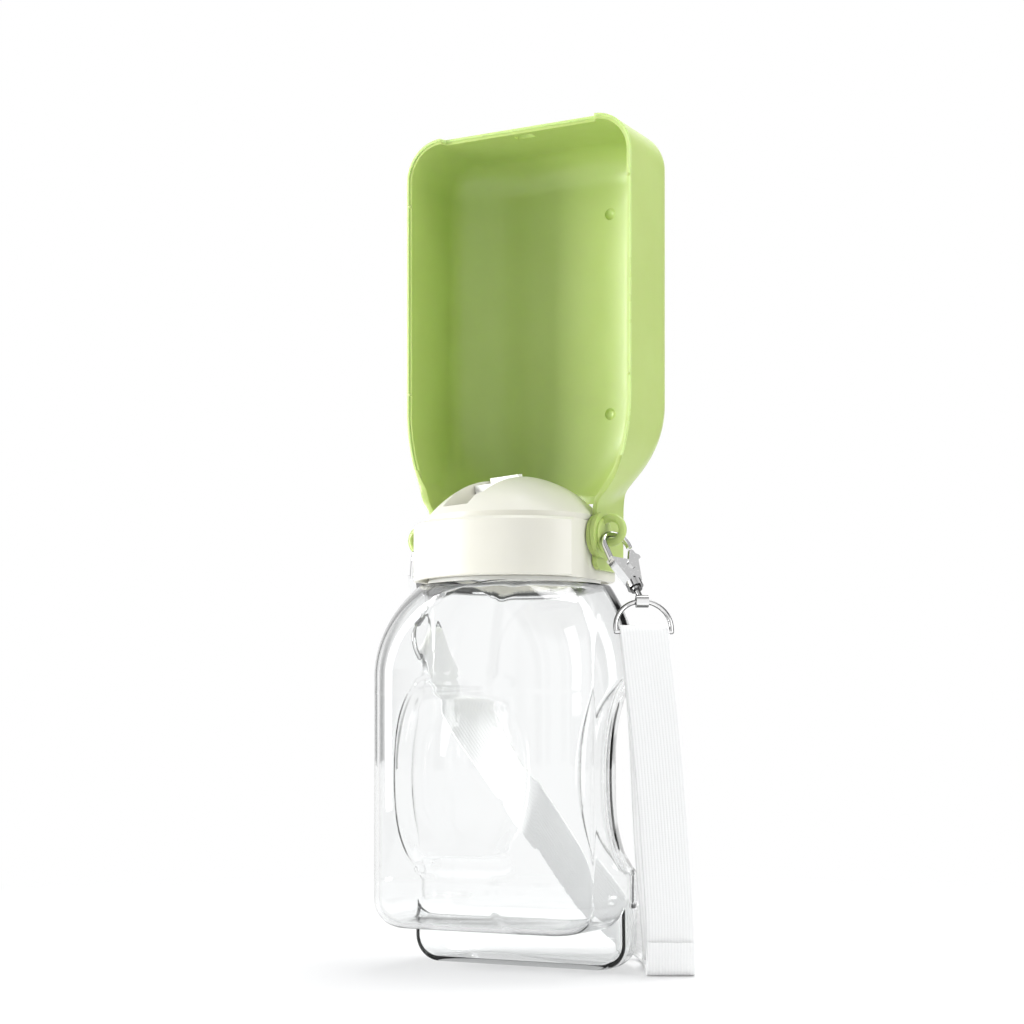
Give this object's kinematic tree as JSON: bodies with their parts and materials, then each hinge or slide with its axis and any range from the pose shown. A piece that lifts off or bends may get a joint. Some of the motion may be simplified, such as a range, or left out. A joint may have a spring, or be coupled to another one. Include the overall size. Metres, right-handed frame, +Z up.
{
  "type": "dog travel water bottle",
  "caption": "Clear travel bottle with a domed flow lid, a fold-over drinking trough hinged on the collar, and a webbing strap on swivel clasps.",
  "frame": {"origin": "centre of the flat under the bottle's foot, on the surface it stands on", "axes": "+Z up, X along the trough's hinge with +X on the side of the strap's long hanging run, -Y the front, towards which the trough's open side faces when it is up"},
  "size_m": [0.1416, 0.096, 0.3575],
  "materials": {
    "clear_plastic": "clear moulded plastic",
    "silicone": "matt translucent silicone",
    "cream_plastic": "satin cream plastic",
    "white_plastic": "satin white plastic",
    "green_plastic": "satin green plastic",
    "steel": "plain steel",
    "chrome": "polished plating",
    "webbing": "ribbed white webbing"
  },
  "bodies": {
    "bottle": {"bottle_body": "clear_plastic", "neck_gasket": "silicone", "collar_ring": "cream_plastic", "hinge_pin_right": "steel", "hinge_pin_left": "steel", "knob_right": "green_plastic", "knob_left": "green_plastic", "hook_right": "chrome", "hook_left": "chrome", "rivet_right": "chrome", "rivet_left": "chrome", "gate_spring_right": "steel", "gate_spring_left": "steel", "strap": "webbing", "strap_end_right": "webbing", "strap_end_left": "webbing"},
    "trough": {"trough": "green_plastic"},
    "lid_seat": {"lid_gasket": "silicone"},
    "lid": {"dome_lid": "cream_plastic", "lid_liner": "white_plastic", "outlet_valve": "silicone"},
    "slider": {"flow_slider": "white_plastic"},
    "gate_right": {"gate_right": "chrome"},
    "gate_left": {"gate_left": "chrome"},
    "swivel_right": {"swivel_right": "chrome", "d_ring_right": "chrome"},
    "swivel_left": {"swivel_left": "chrome", "d_ring_left": "chrome"}
  },
  "joints": [
    {"name": "trough_flip", "type": "hinge", "parent": "bottle", "child": "trough", "pos_m": [0, -0.013, 0.181], "axis": [1, 0, 0], "range_deg": [0, 180]},
    {"name": "lid_lift", "type": "slide", "parent": "bottle", "child": "lid_seat", "axis": [0, 0, 1], "range_m": [0, 0.045]},
    {"name": "lid_turn", "type": "hinge", "parent": "lid_seat", "child": "lid", "pos_m": [0, -0.013, 0.19], "axis": [0, 0, 1], "range_deg": [0, 120]},
    {"name": "flow_slide", "type": "slide", "parent": "lid", "child": "slider", "axis": [-0.3378, -0.9281, -0.1564], "range_m": [0, 0.009]},
    {"name": "gate_right", "type": "hinge", "parent": "bottle", "child": "gate_right", "pos_m": [0.0548, -0.01528, 0.16714], "axis": [-0.7434, 0.3895, -0.5437], "range_deg": [-22, 0], "stiffness_Nm_per_rad": 0.01, "springref_deg": 5.73, "deforming": ["gate_spring_right"]},
    {"name": "swivel_right", "type": "hinge", "parent": "bottle", "child": "swivel_right", "pos_m": [0.05908, -0.01889, 0.15871], "axis": [0.4991, -0.218, -0.8387], "range_deg": [-20, 20], "deforming": ["strap_end_right"]},
    {"name": "gate_left", "type": "hinge", "parent": "bottle", "child": "gate_left", "pos_m": [-0.04998, -0.00618, 0.16632], "axis": [-0.9643, -0.0426, 0.2614], "range_deg": [-22, 0], "stiffness_Nm_per_rad": 0.01, "springref_deg": 5.73, "deforming": ["gate_spring_left"]},
    {"name": "swivel_left", "type": "hinge", "parent": "bottle", "child": "swivel_left", "pos_m": [-0.05266, -0.00459, 0.15668], "axis": [-0.2614, 0.3116, -0.9135], "range_deg": [-20, 20], "deforming": ["strap_end_left"]}
  ]
}
